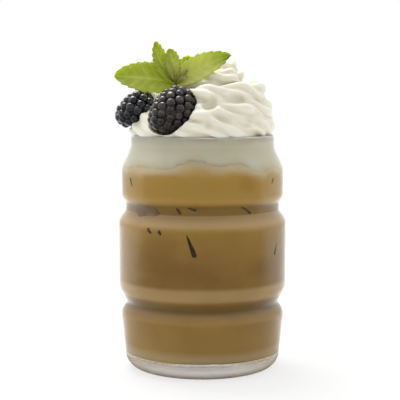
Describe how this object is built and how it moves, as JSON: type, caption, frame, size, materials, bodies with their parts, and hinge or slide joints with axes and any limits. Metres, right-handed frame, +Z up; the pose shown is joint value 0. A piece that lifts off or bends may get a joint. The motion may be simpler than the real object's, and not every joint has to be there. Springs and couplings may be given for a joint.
{
  "type": "iced coffee",
  "caption": "Iced milk coffee in a round banded glass jar, filled past the rim with piped whipped cream and topped with dark berries and a sprig of mint.",
  "frame": {"origin": "centre of the jar's foot ring, on the surface the jar stands on", "axes": "+Z up the jar's axis, -Y towards the side where the front berry sits, +X towards the side the cream's peak leans to"},
  "size_m": [0.0854, 0.0836, 0.1629],
  "materials": {
    "jar_glass": "clear pressed glass, polished",
    "coffee": "cloudy milk coffee",
    "cream": "soft whipped cream",
    "berry_skin": "shiny taut skin",
    "mint_leaf": "veined, slightly waxy leaf"
  },
  "bodies": {
    "root": {"jar": "jar_glass", "coffee": "coffee", "cream": "cream", "bramble_front": "berry_skin", "bramble_side": "berry_skin", "mint_sprig": "mint_leaf"}
  },
  "joints": []
}
